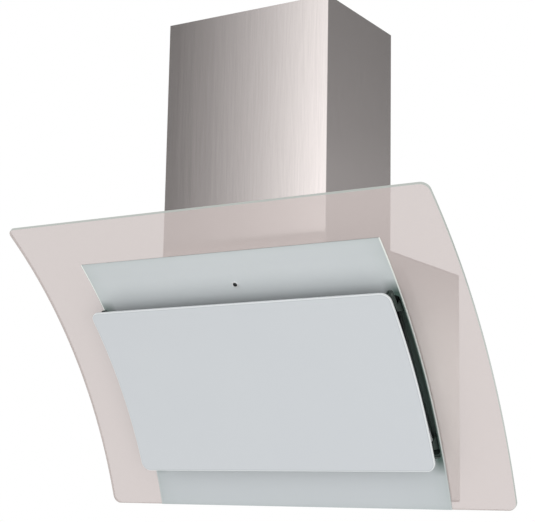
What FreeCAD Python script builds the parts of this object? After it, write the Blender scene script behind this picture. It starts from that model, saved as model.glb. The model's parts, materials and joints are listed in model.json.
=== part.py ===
import FreeCAD, Part
import math
import os

# A wall-hung kitchen hood under a curved sheet of glass, with a chimney over its blower.
# Millimetres. X runs along the wall, -Y into the room, +Z up.
# The origin is on the wall, in the middle, at the lower edge of the steel body.

Vector = FreeCAD.Vector
os.makedirs("parts", exist_ok=True)

# ---------------------------------------------------------------- driving dimensions

# curved glass
glass_width = 900.0
glass_above_body = 133.0        # along the curve
glass_thickness = 6.0
glass_radius = 1050.0           # of the face towards the room
glass_lower_slope = 18.0        # degrees off upright at the lower edge
glass_off_wall = 35.0           # front face to wall, at the lower edge
glass_drop = 18.0               # lower edge of the glass below the steel body
glass_corner = 16.0
glass_edge_round = 0.8

# painted fascia on the glass
fascia_above_body = 31.0        # along the curve; at its foot it ends with the glass
fascia_thickness = 1.0
bond = 0.2                      # adhesive film under the fascia

# air opening through fascia, glass and frame
opening_side = 5.0              # from the side of the body
opening_above_panel_start = 10.0
opening_below_panel_end = 32.0
opening_corner = 8.0
frame_lap = 4.0                 # the steel frame shows this much inside the glass's opening

# steel body
body_width = 650.0
body_height = 420.0
sheet = 1.2
tape_thickness = 1.0
frame_thickness = 2.0
seat_gap = 0.3                  # between a piece and what it rests on
fit_gap = 0.1                   # between pieces fixed to each other

# wall fixing
wall_hole_radius = 4.0
wall_hole_from_side = 45.0
wall_hole_low = 50.0            # above the lower edge of the body
wall_hole_below_top = 40.0

# front panel, as wide as the body
panel_start = 88.0              # along the curve, from the lower edge of the glass
panel_below_fascia_end = 90.0
panel_standoff = 43.0           # its front face before the face of the curved glass
panel_glass = 4.0
panel_corner = 18.0
panel_edge_round = 1.2
tray_inset = 16.0               # from each edge of the panel
tray_depth = 15.0

# front panel hinge and catches
hinge_below_tray_end = 4.0      # along the curve
hinge_standoff = 18.0           # axis before the face of the curved glass
hinge_pin_radius = 3.0
hinge_head_radius = 4.8
hinge_bush_radius = 5.4
hinge_ear_radius = 8.0
hinge_plate = 2.5
arm_length = 40.0
running_gap = 0.05
catch_above_tray_start = 24.0
catch_width = 14.0
magnet_height = 12.0

# grease filters
filter_thickness = 9.0
filter_side_room = 17.0         # from the seat's side wall to the cassette
filter_end_room = 3.0
filter_middle_gap = 6.0         # between the two cassettes
filter_border = 14.0
filter_behind_frame = 1.5
filter_mesh = 1.0
mesh_columns = 13
mesh_rows = 16
mesh_strand = 4.0
filter_ledge = 12.0
bail_width = 60.0
bail_length = 24.0
bail_radius = 1.8
bail_lug = 5.0

# chimney
chimney_width = 360.0
chimney_depth = 260.0
chimney_height = 500.0
chimney_gap = 1.2               # between the outer and the inner chimney
chimney_flange = 15.0
chimney_tab = 14.0
chimney_tab_width = 30.0
chimney_tab_inset = 45.0

# ceiling bracket, at the top of the inner chimney
bracket_height = 30.0
bracket_below_top = 10.0
bracket_wing = 27.0
bracket_hole_spacing = 250.0
bracket_hole_radius = 3.0
bracket_pad_radius = 10.0
bracket_sheet = 1.5

# blower box and what is in it
box_side_room = 30.0            # from the chimney's side to the box
box_back = 12.0                 # from the wall
box_front_room = 20.0           # from the chimney's front to the box
box_flange = 8.0
scroll_under = 8.0              # from the top plate to the scroll
scroll_behind = 7.8             # from the scroll to the box's back
outlet_rise = 24.0              # outlet above the top of the scroll's spiral
wheel_radius = 75.0
wheel_width = 96.0
wheel_blades = 30
blade_depth = 13.0
blade_thickness = 1.2
blade_lean = 9.0                # degrees of turn between a blade's two edges
wheel_disc = 3.0
hub_radius = 12.0
hub_length = 20.0
shaft_radius = 4.0
scroll_wall = 2.0
scroll_gap = 7.0                # wheel to scroll at the tongue
scroll_growth = 16.0            # how much wider the scroll is at its outlet
scroll_side_gap = 2.0           # wheel to scroll at its ends
scroll_inlet_radius = 56.0
scroll_steps = 9                # points that shape its spiral
motor_radius = 40.0
motor_length = 67.0
motor_clear = 6.0               # motor to wheel disc
spider_ring = 8.0
spider_arm_width = 14.0
spider_thickness = 4.0
spider_arm_count = 3
spider_reach = 70.0
capacitor_radius = 15.0
capacitor_length = 55.0

# outlet collar and non-return flaps
collar_radius = 75.0            # the standard 150 mm duct slides over it
collar_wall = 2.0
collar_height = 50.0
collar_plate_lap = 7.0          # plate beyond the collar
collar_plate_thickness = 2.5
flap_height = 18.0              # flap pin above the collar's plate
flap_pin_radius = 1.5
flap_thickness = 1.2
flap_edge_gap = 1.5
flap_knuckle_radius = 3.2
flap_knuckle_length = 18.0
flap_knuckle_gap = 4.0
flap_web = 2.0
flap_rim = 4.0
flap_rim_height = 2.0

# lamps under the body
lamp_length = 120.0
lamp_spread = 320.0             # between the two lamps' middles
lamp_from_wall = 17.0
lamp_width = 20.0
lamp_height = 12.0
lens_margin = 3.0
lens_proud = 1.0

# push key and its electronics
key_below_fascia_end = 74.0
key_radius = 4.0
key_proud = 1.0                 # beyond the bezel
key_travel = 1.0
key_length = 18.0
key_edge_round = 0.8
bezel_radius = 6.8
bezel_proud = 1.0
bezel_sleeve = 1.4
key_side_gap = 0.3
control_width = 90.0
control_up = 8.0                # above the key, along the curve
control_down = 24.0
control_depth = 20.0
control_wall = 1.6
board_thickness = 1.6
switch_size = 8.0

# cable inlet
gland_radius = 9.0
gland_height = 18.0
gland_bore = 4.0
gland_nut_radius = 7.2
gland_tip_radius = 6.0
gland_foot_height = 6.0
gland_from_side = 25.0
gland_from_wall = 34.0

# rubber feet and screws
foot_length = 20.0
foot_width = 10.0
foot_height = 4.0
screw_radius = 2.0
screw_head_radius = 3.6
screw_head_height = 2.2

# ---------------------------------------------------------------- worked out from them

lower_slope = math.radians(glass_lower_slope)
axis_y = -glass_off_wall - glass_radius * math.cos(lower_slope)
axis_z = -glass_drop - glass_radius * math.sin(lower_slope)

glass_back = glass_radius + glass_thickness
tape_back = glass_back + tape_thickness
frame_back = tape_back + frame_thickness
side_x = body_width / 2 - sheet


def slope_at(arc):
    """Slope of the glass off upright, in radians, at a length along the curve."""
    return lower_slope + arc / glass_radius


def on_curve(arc, out):
    """Point at a length along the curve, 'out' millimetres into the room from the glass."""
    slope = slope_at(arc)
    radius = glass_radius - out
    return Vector(0, axis_y + radius * math.cos(slope), axis_z + radius * math.sin(slope))


def arc_at_height(height, radius):
    """Length along the curve where a cylinder about the glass's axis reaches a height."""
    slope = math.asin((height - axis_z) / radius)
    return (slope - lower_slope) * glass_radius


def local_frame(arc):
    """Frame on the glass: X along the wall, Y up the curve, Z into the room."""
    turn = FreeCAD.Rotation(Vector(1, 0, 0), 90 + math.degrees(slope_at(arc)))
    return FreeCAD.Placement(on_curve(arc, 0), turn)


body_top_arc = arc_at_height(body_height, glass_back)
glass_length = body_top_arc + glass_above_body
fascia_length = body_top_arc + fascia_above_body
key_arc = fascia_length - key_below_fascia_end

panel_width = body_width
panel_end = fascia_length - panel_below_fascia_end
tray_width = panel_width - 2 * tray_inset
tray_start = panel_start + tray_inset
tray_end = panel_end - tray_inset
hinge_arc = tray_end - hinge_below_tray_end
catch_arc = tray_start + catch_above_tray_start

opening_width = body_width - 2 * opening_side
opening_start = panel_start + opening_above_panel_start
opening_end = panel_end - opening_below_panel_end
filter_middle = (opening_start + opening_end) / 2
filter_frame = local_frame(filter_middle)

wall_hole_spacing_x = body_width - 2 * wall_hole_from_side
wall_hole_spacing_z = body_height - wall_hole_low - wall_hole_below_top

scroll_small = wheel_radius + scroll_gap
scroll_large = scroll_small + scroll_growth
scroll_width = wheel_width + 2 * (scroll_side_gap + scroll_wall)
fan_height = scroll_large + scroll_wall + scroll_under
fan_from_wall = box_back + sheet + scroll_behind + scroll_wall + scroll_small
box_width = chimney_width - 2 * box_side_room
box_depth = chimney_depth - box_back - box_front_room
box_height = fan_height + scroll_large + outlet_rise
collar_plate = 2 * (collar_radius + collar_plate_lap)


def box(x, y, z):
    """Box between pairs of coordinates."""
    size = [max(pair) - min(pair) for pair in (x, y, z)]
    return Part.makeBox(*size, Vector(min(x), min(y), min(z)))


def placed(shape, place):
    """The shape moved from a local frame to where it belongs."""
    moved = shape.copy()
    moved.Placement = place.multiply(moved.Placement)
    return moved


def slab(x, up, out):
    """Box in the filters' frame, which is tangent to the glass at the middle of the opening."""
    return placed(box(x, up, out), filter_frame)


def rod(start, direction, radius, length):
    """Cylinder from a point along a direction."""
    return Part.makeCylinder(radius, length, start, direction)


def tube(start, direction, outer, inner, length):
    """Hollow cylinder."""
    return rod(start, direction, outer, length).cut(rod(start, direction, inner, length))


def curved_sheet(half_width, start, end, inner, outer, corner=0.0):
    """Sheet along the curve between two radii about the glass's axis, with rounded corners."""
    def point(arc, radius):
        return on_curve(arc, glass_radius - radius) - Vector(half_width, 0, 0)
    middle = (start + end) / 2
    edges = [
        Part.Arc(point(start, inner), point(middle, inner), point(end, inner)).toShape(),
        Part.makeLine(point(end, inner), point(end, outer)),
        Part.Arc(point(end, outer), point(middle, outer), point(start, outer)).toShape(),
        Part.makeLine(point(start, outer), point(start, inner)),
    ]
    solid = Part.Face(Part.Wire(edges)).extrude(Vector(2 * half_width, 0, 0))
    if corner:
        solid = solid.makeFillet(corner, corner_edges(solid, outer - inner))
    return solid


def corner_edges(solid, thickness):
    """The four short straight edges through a curved sheet's thickness."""
    chosen = []
    for edge in solid.Edges:
        along_x = abs(edge.tangentAt(edge.FirstParameter).x) > 0.5
        straight = isinstance(edge.Curve, Part.Line)
        if straight and not along_x and abs(edge.Length - thickness) < thickness / 4:
            chosen.append(edge)
    return chosen


def eased(solid, radius, rim):
    """The sheet with its long rim edges eased: those that run round its face of a given radius."""
    chosen = []
    for edge in solid.Edges:
        ends = [vertex.Point for vertex in edge.Vertexes]
        middle = edge.valueAt((edge.FirstParameter + edge.LastParameter) / 2)
        reach = [math.hypot(p.y - axis_y, p.z - axis_z) for p in ends + [middle]]
        if all(abs(r - rim) < radius / 4 for r in reach):
            chosen.append(edge)
    return solid.makeFillet(radius, chosen)


def behind(radius):
    """Everything in front of a cylinder about the glass's axis, to be cut away."""
    return Part.makeCylinder(radius, 2 * glass_width, Vector(-glass_width, axis_y, axis_z), Vector(1, 0, 0))


def extruded(points, x):
    """Flat outline of (y, z) points, extruded between two X."""
    corners = [Vector(min(x), p.y, p.z) for p in points]
    outline = Part.makePolygon(corners + corners[:1])
    return Part.Face(outline).extrude(Vector(max(x) - min(x), 0, 0))


def fused(shapes):
    """One solid from touching shapes."""
    return shapes[0].multiFuse(shapes[1:]).removeSplitter()


def screw(head_seat, direction, grip):
    """Round-headed screw: the head stands before its seat, the shank goes 'grip' beyond it."""
    back = Vector(direction) * -1
    head = rod(head_seat, back, screw_head_radius, screw_head_height)
    return fused([head, rod(head_seat, direction, screw_radius, grip)])


def screw_hole(head_seat, direction, grip):
    """Clearance for a screw's shank."""
    start = head_seat - Vector(direction) * sheet
    return rod(start, direction, screw_radius + fit_gap, grip + 2 * sheet)


def mirrored(shape):
    """The same piece on the other side."""
    return shape.mirror(Vector(0, 0, 0), Vector(1, 0, 0))


nodes = {}

UP = Vector(0, 0, 1)
DOWN = Vector(0, 0, -1)
RIGHT = Vector(1, 0, 0)
BACK = Vector(0, 1, 0)

# ---------------------------------------------------------------- curved glass and fascia

key_place = local_frame(key_arc)
through_glass = 4 * glass_thickness

opening = curved_sheet(opening_width / 2, opening_start, opening_end, glass_radius - through_glass,
                       glass_radius + through_glass, opening_corner)
bezel_hole_radius = key_radius + key_side_gap + bezel_sleeve + fit_gap
bezel_hole = placed(rod(Vector(0, 0, -through_glass), UP, bezel_hole_radius, 2 * through_glass), key_place)

glass = curved_sheet(glass_width / 2, 0, glass_length, glass_radius, glass_back, glass_corner)
glass = eased(glass, glass_edge_round, glass_radius)
glass = eased(glass, glass_edge_round, glass_back)
nodes["curved_glass"] = glass.cut(opening).cut(bezel_hole)

fascia_back = glass_radius - bond
fascia_front = fascia_back - fascia_thickness
fascia_out = glass_radius - fascia_front
fascia = curved_sheet(body_width / 2, 0, fascia_length, fascia_front, fascia_back)
nodes["painted_fascia"] = fascia.cut(opening).cut(bezel_hole)

# ---------------------------------------------------------------- steel body

frame_start = arc_at_height(sheet + seat_gap, glass_back)
frame_end = arc_at_height(body_height - sheet - seat_gap, frame_back)
frame_half_width = side_x - fit_gap

tape = curved_sheet(frame_half_width, frame_start, frame_end, glass_back, tape_back)
nodes["bonding_tape"] = tape.cut(opening).cut(bezel_hole)

frame_opening = curved_sheet(opening_width / 2 - frame_lap, opening_start + frame_lap,
                             opening_end - frame_lap, glass_radius - through_glass,
                             glass_radius + through_glass, opening_corner)
frame = curved_sheet(frame_half_width, frame_start, frame_end, tape_back, frame_back)

body_front = glass_back + fit_gap


def front_at(height, radius):
    """Y of a cylinder about the glass's axis at a height."""
    return axis_y + math.sqrt(radius ** 2 - (height - axis_z) ** 2)


def side_panel(x):
    """Side wall of the body, from the glass to the wall."""
    low = Vector(x, front_at(0, body_front), 0)
    mid = Vector(x, front_at(body_height / 2, body_front), body_height / 2)
    top = Vector(x, front_at(body_height, body_front), body_height)
    outline = Part.Wire([
        Part.Arc(low, mid, top).toShape(),
        Part.makeLine(top, Vector(x, 0, body_height)),
        Part.makeLine(Vector(x, 0, body_height), Vector(x, 0, 0)),
        Part.makeLine(Vector(x, 0, 0), low),
    ])
    return Part.Face(outline).extrude(Vector(sheet, 0, 0))


nodes["right_side_panel"] = side_panel(side_x)
nodes["left_side_panel"] = side_panel(-body_width / 2)

plate_x = (-side_x, side_x)
wall_hole_z = (wall_hole_low, wall_hole_low + wall_hole_spacing_z)
back_plate = box(plate_x, (-sheet, 0), (0, body_height))
for x in (-wall_hole_spacing_x / 2, wall_hole_spacing_x / 2):
    for z in wall_hole_z:
        back_plate = back_plate.cut(rod(Vector(x, -2 * sheet, z), BACK, wall_hole_radius, 4 * sheet))
nodes["back_plate"] = back_plate

top_z = body_height
under_top = body_height - sheet
top_plate = box(plate_x, (-sheet, -glass_length), (under_top, top_z)).cut(behind(body_front))

bottom_plate = box(plate_x, (-sheet, -glass_off_wall - glass_thickness), (0, sheet)).cut(behind(body_front))

# ---------------------------------------------------------------- lamps

lamp_y = (-lamp_from_wall - lamp_width / 2, -lamp_from_wall + lamp_width / 2)
lens_y = (lamp_y[0] + lens_margin, lamp_y[1] - lens_margin)
for name, middle in (("left", -lamp_spread / 2), ("right", lamp_spread / 2)):
    lamp_x = (middle - lamp_length / 2, middle + lamp_length / 2)
    lens_x = (lamp_x[0] + lens_margin, lamp_x[1] - lens_margin)
    bottom_plate = bottom_plate.cut(box(lens_x, lens_y, (-sheet, 2 * sheet)))
    lens_hollow_x = (lens_x[0] + fit_gap, lens_x[1] - fit_gap)
    lens_hollow_y = (lens_y[0] + fit_gap, lens_y[1] - fit_gap)
    lens = box(lens_hollow_x, lens_hollow_y, (-lens_proud, sheet))
    upright = [edge for edge in lens.Edges if abs(edge.tangentAt(0).z) > 0.5]
    nodes[name + "_lamp_lens"] = lens.makeFillet(lens_margin / 2, upright)
    housing = box(lamp_x, lamp_y, (sheet, sheet + lamp_height))
    hollow = box(lens_hollow_x, lens_hollow_y, (0, lamp_height))
    nodes[name + "_lamp_housing"] = housing.cut(hollow)
nodes["bottom_plate"] = bottom_plate

feet = []
for side in (-1, 1):
    outer = side * side_x
    inner = side * (side_x - foot_width)
    feet.append(box((inner, outer), (-foot_length, 0), (-foot_height, 0)))
nodes["rubber_feet"] = Part.makeCompound(feet)

# ---------------------------------------------------------------- filter seat

seat_half_x = opening_width / 2 - frame_lap + fit_gap
seat_half_up = (frame_back * math.sin((opening_end - frame_lap - filter_middle) / glass_radius)) + fit_gap
filter_front = -(frame_back - glass_radius) - filter_behind_frame
filter_rear = filter_front - filter_thickness
ledge_front = filter_rear - seat_gap
ledge_rear = ledge_front - sheet
cassette_x = (filter_middle_gap / 2, seat_half_x - filter_side_room)
cassette_up = (-seat_half_up + filter_end_room, seat_half_up - filter_end_room)
window_x = (cassette_x[0] + filter_ledge, cassette_x[1] - filter_ledge)
window_up = (cassette_up[0] + filter_ledge, cassette_up[1] - filter_ledge)

seat_wall_x = (-seat_half_x - sheet, seat_half_x + sheet)
seat_wall_up = (-seat_half_up - sheet, seat_half_up + sheet)
seat = slab(seat_wall_x, seat_wall_up, (ledge_rear, panel_standoff))
seat = seat.cut(slab((-seat_half_x, seat_half_x), (-seat_half_up, seat_half_up),
                     (ledge_front, 2 * panel_standoff)))
for side in (-1, 1):
    side_window = [side * edge for edge in window_x]
    seat = seat.cut(slab(side_window, window_up, (2 * ledge_rear, 0)))
seat = seat.cut(behind(frame_back + fit_gap))

# ---------------------------------------------------------------- front panel hinge and catches

arm_x = (seat_half_x - fit_gap - hinge_plate, seat_half_x - fit_gap)
ear_x = (tray_width / 2 + fit_gap, tray_width / 2 + fit_gap + hinge_plate)
hinge_point = on_curve(hinge_arc, hinge_standoff)


def in_filter_frame(up, out):
    """Point of the filters' frame in the YZ plane."""
    return filter_frame.multVec(Vector(0, up, out))


arm_inset = opening_corner + filter_end_room
arm_foot = (seat_half_up - arm_length, seat_half_up - arm_inset)
arm_foot_out = filter_front + seat_gap
arm_neck = opening_end - frame_lap - arm_inset


def arm_outline():
    """Plate riveted inside the seat's side wall, reaching out through the opening to the hinge."""
    return [
        in_filter_frame(arm_foot[0], arm_foot_out),
        in_filter_frame(arm_foot[1], arm_foot_out),
        on_curve(arm_neck, 0),
        on_curve(arm_neck, hinge_standoff - hinge_ear_radius),
        on_curve(hinge_arc, hinge_standoff - hinge_ear_radius),
        on_curve(hinge_arc, hinge_standoff + hinge_ear_radius),
        on_curve(arm_neck - hinge_ear_radius, hinge_standoff),
    ]


hinge_arm = extruded(arm_outline(), arm_x)
hinge_arm = fused([hinge_arm, rod(Vector(arm_x[0], hinge_point.y, hinge_point.z), RIGHT,
                                  hinge_ear_radius, hinge_plate)])
pin_start = Vector(ear_x[0] - hinge_plate, hinge_point.y, hinge_point.z)
pin_length = arm_x[1] - pin_start.x
bore_radius = hinge_pin_radius + running_gap
pin_bore = rod(pin_start, RIGHT, bore_radius, 2 * pin_length)
hinge_arm = hinge_arm.cut(pin_bore)
nodes["right_hinge_arm"] = hinge_arm
nodes["left_hinge_arm"] = mirrored(hinge_arm)

pin_head = rod(Vector(ear_x[0] - hinge_plate, hinge_point.y, hinge_point.z), RIGHT,
               hinge_head_radius, hinge_plate - seat_gap)
hinge_pin = fused([pin_head, rod(pin_start, RIGHT, hinge_pin_radius, pin_length)])
bush_x = ear_x[1] + seat_gap
bush = tube(Vector(bush_x, hinge_point.y, hinge_point.z), RIGHT, hinge_bush_radius, bore_radius,
            arm_x[0] - fit_gap - bush_x)
nodes["hinge_pins"] = Part.makeCompound([hinge_pin, mirrored(hinge_pin)])
nodes["hinge_bushes"] = Part.makeCompound([bush, mirrored(bush)])

tray_back = panel_standoff - panel_glass - tray_depth
catch_foot = (-seat_half_up + arm_inset, -seat_half_up + arm_length)


def catch_outline():
    """Plate like the hinge arm's, at the lower corner, ending under the magnet."""
    width = catch_width / 2
    return [
        in_filter_frame(catch_foot[0], arm_foot_out),
        in_filter_frame(catch_foot[1], arm_foot_out),
        in_filter_frame(catch_foot[1], 0),
        on_curve(catch_arc + width, tray_back - seat_gap - magnet_height / 2),
        on_curve(catch_arc - width, tray_back - seat_gap - magnet_height / 2),
        in_filter_frame(catch_foot[0], 0),
    ]


catch_arm = extruded(catch_outline(), arm_x)
nodes["catch_arms"] = Part.makeCompound([catch_arm, mirrored(catch_arm)])
catch_place = local_frame(catch_arc)
magnet_x = (cassette_x[1] + filter_end_room, arm_x[0] - fit_gap)
magnet_out = (tray_back - seat_gap - magnet_height, tray_back - seat_gap)
magnet = placed(box(magnet_x, (-catch_width / 2, catch_width / 2), magnet_out), catch_place)
nodes["catch_magnets"] = Part.makeCompound([magnet, mirrored(magnet)])

# ---------------------------------------------------------------- front panel

panel_face = glass_radius - panel_standoff
panel_rear = panel_face + panel_glass
panel = curved_sheet(panel_width / 2, panel_start, panel_end, panel_face, panel_rear, panel_corner)
panel = eased(panel, panel_edge_round, panel_face)
nodes["front_panel_glass"] = panel

tray_front = panel_rear + bond
tray_rear = panel_rear + tray_depth
tray = curved_sheet(tray_width / 2, tray_start, tray_end, tray_front, tray_rear, panel_corner / 2)
hollow = curved_sheet(tray_width / 2 - sheet, tray_start + sheet, tray_end - sheet, tray_front + sheet,
                      tray_rear + tray_depth, panel_corner / 2 - sheet)
nodes["front_panel_tray"] = tray.cut(hollow)

ear_reach = 3 * hinge_ear_radius
ear = extruded([
    on_curve(hinge_arc - ear_reach, panel_standoff - panel_glass - 2 * bond),
    on_curve(tray_end - panel_corner / 2, panel_standoff - panel_glass - 2 * bond),
    on_curve(hinge_arc + hinge_ear_radius, hinge_standoff),
    on_curve(hinge_arc - hinge_ear_radius, hinge_standoff),
    on_curve(hinge_arc - ear_reach, tray_back + bond),
], ear_x)
ear = fused([ear, rod(Vector(ear_x[0], hinge_point.y, hinge_point.z), RIGHT, hinge_ear_radius, hinge_plate)])
ear = ear.cut(pin_bore)
nodes["panel_hinge_ears"] = Part.makeCompound([ear, mirrored(ear)])

strike_x = (tray_width / 2 - sheet - fit_gap - catch_width, tray_width / 2 - sheet - fit_gap)
strike = placed(box(strike_x, (-catch_width / 2, catch_width / 2), (tray_back, tray_back + tray_depth / 2)),
                catch_place)
strike = strike.cut(behind(tray_front + sheet + fit_gap))
nodes["strike_plates"] = Part.makeCompound([strike, mirrored(strike)])

# ---------------------------------------------------------------- filter cassettes

mesh_x = (cassette_x[0] + filter_border + fit_gap, cassette_x[1] - filter_border - fit_gap)
mesh_up = (cassette_up[0] + filter_border + fit_gap, cassette_up[1] - filter_border - fit_gap)


def mesh_sheet(x, up, out):
    """Expanded-metal sheet: one face with a diamond hole at every crossing of its grid."""
    step_x = (x[1] - x[0]) / mesh_columns
    step_up = (up[1] - up[0]) / mesh_rows
    half_x = step_x / 2 - mesh_strand / 4
    half_up = step_up / 2 - mesh_strand / 4
    rim = [Vector(x[0], up[0], out), Vector(x[1], up[0], out)]
    rim += [Vector(x[1], up[1], out), Vector(x[0], up[1], out)]
    wires = [Part.makePolygon(rim + rim[:1])]
    for column in range(mesh_columns):
        for row in range(mesh_rows):
            mid_x = x[0] + (column + 0.5) * step_x
            mid_up = up[0] + (row + 0.5) * step_up
            diamond = [Vector(mid_x - half_x, mid_up, out), Vector(mid_x, mid_up - half_up, out),
                       Vector(mid_x + half_x, mid_up, out), Vector(mid_x, mid_up + half_up, out)]
            wires.append(Part.makePolygon(diamond + diamond[:1]))
    face = Part.makeFace(wires, "Part::FaceMakerBullseye")
    return placed(face.extrude(Vector(0, 0, filter_mesh)), filter_frame)


bail_middle = (cassette_x[0] + cassette_x[1]) / 2
bail_out = filter_front + bail_lug / 2
bail_up = cassette_up[1] - filter_border / 2
bail_pivot = in_filter_frame(bail_up, bail_out)
bail_bore = bail_radius + running_gap


def bail_lugs(middle):
    """Two eyes on the cassette's upper border, which carry the bail."""
    lugs = []
    up = (bail_up - bail_lug / 2, bail_up + bail_lug / 2)
    for side in (-1, 1):
        eye = middle + side * (bail_width / 2 + bail_lug / 2 + bail_radius + seat_gap)
        lug_x = (eye - bail_lug / 2, eye + bail_lug / 2)
        lugs.append(slab(lug_x, up, (filter_front, filter_front + bail_lug)))
    return lugs


def cassette(middle):
    """Aluminium rim of one filter with the bail's eyes."""
    rim = slab(cassette_x, cassette_up, (filter_rear, filter_front))
    window = slab((cassette_x[0] + filter_border, cassette_x[1] - filter_border),
                  (cassette_up[0] + filter_border, cassette_up[1] - filter_border),
                  (2 * filter_rear, 0))
    whole = fused([rim.cut(window)] + bail_lugs(middle))
    axle = rod(Vector(middle - bail_width, bail_pivot.y, bail_pivot.z), RIGHT, bail_bore, 2 * bail_width)
    return whole.cut(axle)


def bail(middle):
    """Wire handle that hangs from its two eyes."""
    half = bail_width / 2
    axle_end = half + bail_radius + bail_lug
    pieces = []
    for side in (-1, 1):
        corner = Vector(middle + side * half, bail_pivot.y, bail_pivot.z)
        pieces.append(rod(corner, Vector(side, 0, 0), bail_radius, axle_end - half))
        pieces.append(rod(corner, DOWN, bail_radius, bail_length))
        pieces.append(Part.makeSphere(bail_radius, corner))
        pieces.append(Part.makeSphere(bail_radius, corner + DOWN * bail_length))
    low = Vector(middle - half, bail_pivot.y, bail_pivot.z - bail_length)
    pieces.append(rod(low, RIGHT, bail_radius, bail_width))
    return fused(pieces)


right_cassette = cassette(bail_middle)
right_mesh = Part.makeCompound([
    mesh_sheet(mesh_x, mesh_up, filter_front - 2 * filter_mesh),
    mesh_sheet(mesh_x, mesh_up, filter_rear + filter_mesh),
])
right_bail = bail(bail_middle)
core_out = (filter_rear + 2 * filter_mesh + fit_gap, filter_front - 2 * filter_mesh - fit_gap)
right_core = slab(mesh_x, mesh_up, core_out)
for side, turn in (("right", lambda shape: shape), ("left", mirrored)):
    nodes[side + "_filter_frame"] = turn(right_cassette)
    nodes[side + "_filter_mesh"] = turn(right_mesh)
    nodes[side + "_filter_core"] = turn(right_core)
    nodes[side + "_filter_bail"] = turn(right_bail)

# ---------------------------------------------------------------- blower box

box_x = (-box_width / 2, box_width / 2)
box_y = (-box_back - box_depth, -box_back)
box_z = (top_z, top_z + box_height)


def grown(pair, by):
    """A range made wider by the same amount at both ends."""
    return (min(pair) - by, max(pair) + by)


blower_box = box(box_x, box_y, box_z).cut(box(grown(box_x, -sheet), grown(box_y, -sheet),
                                              (box_z[0] - sheet, box_z[1] - sheet)))
flange = box(grown(box_x, box_flange + screw_head_radius), grown(box_y, box_flange), (top_z, top_z + sheet))
flange = flange.cut(box(grown(box_x, -sheet), grown(box_y, -sheet), (top_z - sheet, top_z + 2 * sheet)))
blower_box = fused([blower_box, flange])
intake_x = grown(box_x, -sheet - box_flange)
intake_y = grown(box_y, -sheet - box_flange)
top_plate = top_plate.cut(box(intake_x, intake_y, (under_top - sheet, top_z + sheet)))

roof_z = box_z[1]
wheel_middle = Vector(0, -fan_from_wall, top_z + fan_height)
outlet_depth = scroll_width - 2 * scroll_wall
collar_y = wheel_middle.y - scroll_large + outlet_depth / 2

box_screws = []
for x in (-1, 1):
    for y in grown(box_y, -chimney_tab_inset):
        seat_point = Vector(x * (box_width / 2 + (box_flange + screw_head_radius) / 2), y, top_z + sheet)
        box_screws.append(screw(seat_point, DOWN, 2 * sheet + seat_gap))
        blower_box = blower_box.cut(screw_hole(seat_point, DOWN, 2 * sheet))
        top_plate = top_plate.cut(screw_hole(seat_point, DOWN, 2 * sheet))

# ---------------------------------------------------------------- scroll, wheel and motor


def scroll_outline(extra, top):
    """Spiral about the wheel, from its tongue round to the upright outlet, as a closed outline."""
    rear_y = collar_y + outlet_depth / 2 + extra
    tongue = math.acos((rear_y - wheel_middle.y) / (scroll_small + extra))
    points = []
    for step in range(scroll_steps + 1):
        share = step / scroll_steps
        radius = scroll_small + scroll_growth * share + extra
        angle = tongue - share * (tongue + math.pi)
        points.append(wheel_middle + Vector(0, radius * math.cos(angle), radius * math.sin(angle)))
    spiral = Part.BSplineCurve()
    spiral.interpolate(points)
    top_front = Vector(0, points[-1].y, top)
    top_rear = Vector(0, rear_y, top)
    corners = [points[-1], top_front, top_rear, points[0]]
    edges = [spiral.toShape()]
    edges += [Part.makeLine(start, end) for start, end in zip(corners, corners[1:])]
    return Part.Face(Part.Wire(edges))


def scroll_solid(extra, half_width, top):
    """The scroll's outline as a solid of a width."""
    face = scroll_outline(extra, top)
    face.translate(Vector(-half_width, 0, 0))
    return face.extrude(Vector(2 * half_width, 0, 0))


scroll = scroll_solid(scroll_wall, scroll_width / 2, roof_z - sheet)
scroll = scroll.cut(scroll_solid(0, scroll_width / 2 - scroll_wall, roof_z))
inlet_start = wheel_middle - Vector(scroll_width, 0, 0)
scroll = scroll.cut(rod(inlet_start, RIGHT, scroll_inlet_radius, 2 * scroll_width))


def blade(number):
    """One blade of the wheel, leaning forward, over the whole width."""
    outer = math.radians(360.0 * number / wheel_blades)
    inner = outer - math.radians(blade_lean)
    thick = blade_thickness / 2

    def corner(angle, radius, side):
        across = Vector(0, -math.sin(angle), math.cos(angle)) * (side * thick)
        return wheel_middle + Vector(0, math.cos(angle), math.sin(angle)) * radius + across

    tip = wheel_radius - blade_thickness
    root = wheel_radius - blade_depth
    outline = [corner(outer, tip, 1), corner(inner, root, 1), corner(inner, root, -1), corner(outer, tip, -1)]
    return extruded(outline, (-wheel_width / 2, wheel_width / 2))


ring_width = 4 * blade_thickness
rings = []
for end in (-wheel_width / 2, wheel_width / 2 - ring_width):
    rings.append(tube(wheel_middle + Vector(end, 0, 0), RIGHT, wheel_radius, wheel_radius - blade_depth / 2,
                      ring_width))
disc = rod(wheel_middle - Vector(wheel_disc / 2, 0, 0), RIGHT, wheel_radius - blade_thickness, wheel_disc)
hub = rod(wheel_middle - Vector(wheel_disc / 2, 0, 0), RIGHT, hub_radius, hub_length)
wheel = fused([disc, hub] + rings + [blade(number) for number in range(wheel_blades)])
shaft_bore = rod(wheel_middle - Vector(box_width, 0, 0), RIGHT, shaft_radius + running_gap, 2 * box_width)
nodes["blower_wheel"] = wheel.cut(shaft_bore)

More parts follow.
